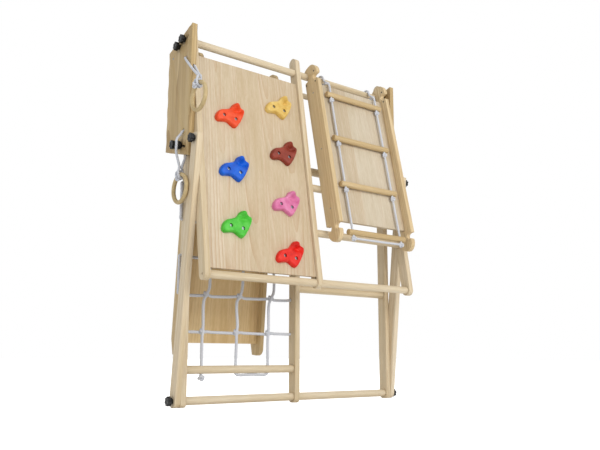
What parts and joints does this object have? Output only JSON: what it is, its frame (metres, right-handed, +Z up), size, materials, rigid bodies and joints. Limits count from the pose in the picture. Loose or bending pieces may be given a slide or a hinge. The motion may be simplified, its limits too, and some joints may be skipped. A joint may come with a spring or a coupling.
{
  "type": "toddler climber with slide",
  "caption": "Folding pine climbing tower for toddlers, folded up and standing, with climbing wall, ramp, rope ladder, net, slide and wooden rings.",
  "frame": {"origin": "on the floor under the middle rear post, in the plane of the rear frame", "axes": "+Z up; +X along the dowels, to the right of someone who faces the climbing panel; -Y towards that person"},
  "size_m": [1.1189, 0.4759, 1.4544],
  "materials": {
    "frame_timber": "satin",
    "round_timber": "satin",
    "board_timber": "satin",
    "panel_wood": "satin",
    "rope": "matt",
    "black_plastic": "matt",
    "hold_orange": "semi-gloss",
    "hold_blue": "semi-gloss",
    "hold_green": "semi-gloss",
    "hold_yellow": "semi-gloss",
    "hold_brown": "semi-gloss",
    "hold_pink": "semi-gloss",
    "hold_red": "semi-gloss"
  },
  "bodies": {
    "rear_frame": {"rear_post_left": "frame_timber", "rear_post_middle": "frame_timber", "rear_post_right": "frame_timber", "rear_dowel_top": "round_timber", "rear_dowel_bottom": "round_timber", "net_dowel": "round_timber", "rear_rung": "round_timber", "climbing_net": "rope"},
    "boards": {"side_board_left": "board_timber", "side_board_right": "board_timber", "cross_bar_upper": "round_timber", "cross_bar_lower": "round_timber"},
    "leaf": {"leaf_rail_left": "frame_timber", "leaf_rail_middle": "frame_timber", "leaf_rail_right": "frame_timber", "leaf_dowel_top": "round_timber", "leaf_dowel_bottom": "round_timber", "leaf_rung_upper": "round_timber", "leaf_rung_lower": "round_timber", "climbing_panel": "panel_wood", "hold_orange": "hold_orange", "hold_blue": "hold_blue", "hold_green": "hold_green", "hold_yellow": "hold_yellow", "hold_brown": "hold_brown", "hold_pink": "hold_pink", "hold_red": "hold_red"},
    "base_bar_left": {"base_bar_left": "board_timber"},
    "base_bar_right": {"base_bar_right": "board_timber"},
    "ramp": {"ramp_rail_left": "frame_timber", "ramp_rail_right": "frame_timber", "ramp_panel": "panel_wood"},
    "rope_ladder": {"ladder_rung_1": "round_timber", "ladder_rung_2": "round_timber", "ladder_rung_3": "round_timber", "ladder_rung_4": "round_timber", "ladder_rope_left": "rope", "ladder_rope_right": "rope"},
    "slide": {"slide_rail_left": "frame_timber", "slide_rail_right": "frame_timber", "slide_panel": "panel_wood"},
    "ring_upper": {"ring_upper": "round_timber", "ring_rope_upper": "rope"},
    "ring_lower": {"ring_lower": "round_timber", "ring_rope_lower": "rope"},
    "foot_knob_left": {"foot_knob_left": "black_plastic"},
    "rear_pivot_knob_left": {"rear_pivot_knob_left": "black_plastic"},
    "rear_lock_knob_left": {"rear_lock_knob_left": "black_plastic"},
    "front_lock_knob_left": {"front_lock_knob_left": "black_plastic"},
    "front_pivot_knob_left": {"front_pivot_knob_left": "black_plastic"},
    "bar_end_knob_left": {"bar_end_knob_left": "black_plastic"},
    "foot_knob_right": {"foot_knob_right": "black_plastic"},
    "rear_pivot_knob_right": {"rear_pivot_knob_right": "black_plastic"},
    "rear_lock_knob_right": {"rear_lock_knob_right": "black_plastic"},
    "front_lock_knob_right": {"front_lock_knob_right": "black_plastic"},
    "front_pivot_knob_right": {"front_pivot_knob_right": "black_plastic"},
    "bar_end_knob_right": {"bar_end_knob_right": "black_plastic"}
  },
  "joints": [
    {"name": "boards_fold", "type": "hinge", "parent": "rear_frame", "child": "boards", "pos_m": [0, 0, 0.9575], "axis": [1, 0, 0], "range_deg": [0, 74]},
    {"name": "leaf_fold", "type": "hinge", "parent": "boards", "child": "leaf", "pos_m": [0, 0, 1.3855], "axis": [1, 0, 0], "range_deg": [-96.8, 0]},
    {"name": "base_bar_left_fold", "type": "hinge", "parent": "rear_frame", "child": "base_bar_left", "pos_m": [-0.5116, 0, 0.0225], "axis": [1, 0, 0], "range_deg": [0, 67.7]},
    {"name": "base_bar_right_fold", "type": "hinge", "parent": "rear_frame", "child": "base_bar_right", "pos_m": [0.5116, 0, 0.0225], "axis": [1, 0, 0], "range_deg": [0, 67.7]},
    {"name": "ramp_swing", "type": "hinge", "parent": "leaf", "child": "ramp", "pos_m": [0, 0, 1.3855], "axis": [1, 0, 0], "range_deg": [-40, 0]},
    {"name": "ladder_swing", "type": "hinge", "parent": "ramp", "child": "rope_ladder", "pos_m": [0, 0, 1.3855], "axis": [1, 0, 0], "range_deg": [-20, 0]},
    {"name": "slide_swing", "type": "hinge", "parent": "boards", "child": "slide", "pos_m": [0, 0.097, 1.3435], "axis": [1, 0, 0], "range_deg": [0, 30]},
    {"name": "ring_upper_swing", "type": "hinge", "parent": "boards", "child": "ring_upper", "pos_m": [-0.5226, -0.014, 1.3075], "axis": [1, 0, 0], "range_deg": [-25, 0], "deforming": ["ring_rope_upper"]},
    {"name": "ring_lower_swing", "type": "hinge", "parent": "boards", "child": "ring_lower", "pos_m": [-0.5226, -0.014, 1.0145], "axis": [1, 0, 0], "range_deg": [0, 20], "deforming": ["ring_rope_lower"]},
    {"name": "foot_knob_left_turn", "type": "hinge", "parent": "rear_frame", "child": "foot_knob_left", "pos_m": [-0.5336, 0, 0.0225], "axis": [1, 0, 0], "continuous": true},
    {"name": "rear_pivot_knob_left_turn", "type": "hinge", "parent": "rear_frame", "child": "rear_pivot_knob_left", "pos_m": [-0.5336, 0, 0.9575], "axis": [1, 0, 0], "continuous": true},
    {"name": "rear_lock_knob_left_turn", "type": "hinge", "parent": "boards", "child": "rear_lock_knob_left", "pos_m": [-0.5336, 0.04518, 0.97045], "axis": [1, 0, 0], "continuous": true},
    {"name": "front_lock_knob_left_turn", "type": "hinge", "parent": "boards", "child": "front_lock_knob_left", "pos_m": [-0.5336, 0.04518, 1.37254], "axis": [1, 0, 0], "continuous": true},
    {"name": "front_pivot_knob_left_turn", "type": "hinge", "parent": "leaf", "child": "front_pivot_knob_left", "pos_m": [-0.5336, 0, 1.3855], "axis": [1, 0, 0], "continuous": true},
    {"name": "bar_end_knob_left_turn", "type": "hinge", "parent": "base_bar_left", "child": "bar_end_knob_left", "pos_m": [-0.5336, -0.10516, 0.96006], "axis": [1, 0, 0], "continuous": true},
    {"name": "foot_knob_right_turn", "type": "hinge", "parent": "rear_frame", "child": "foot_knob_right", "pos_m": [0.5336, 0, 0.0225], "axis": [1, 0, 0], "continuous": true},
    {"name": "rear_pivot_knob_right_turn", "type": "hinge", "parent": "rear_frame", "child": "rear_pivot_knob_right", "pos_m": [0.5336, 0, 0.9575], "axis": [1, 0, 0], "continuous": true},
    {"name": "rear_lock_knob_right_turn", "type": "hinge", "parent": "boards", "child": "rear_lock_knob_right", "pos_m": [0.5336, 0.04518, 0.97045], "axis": [1, 0, 0], "continuous": true},
    {"name": "front_lock_knob_right_turn", "type": "hinge", "parent": "boards", "child": "front_lock_knob_right", "pos_m": [0.5336, 0.04518, 1.37254], "axis": [1, 0, 0], "continuous": true},
    {"name": "front_pivot_knob_right_turn", "type": "hinge", "parent": "leaf", "child": "front_pivot_knob_right", "pos_m": [0.5336, 0, 1.3855], "axis": [1, 0, 0], "continuous": true},
    {"name": "bar_end_knob_right_turn", "type": "hinge", "parent": "base_bar_right", "child": "bar_end_knob_right", "pos_m": [0.5336, -0.10516, 0.96006], "axis": [1, 0, 0], "continuous": true}
  ],
  "couplings": [
    {"joint": "leaf_fold", "follows": "boards_fold", "ratio": -1.3068},
    {"joint": "base_bar_left_fold", "follows": "boards_fold", "ratio": 0.91351},
    {"joint": "base_bar_right_fold", "follows": "boards_fold", "ratio": 0.91351}
  ]
}
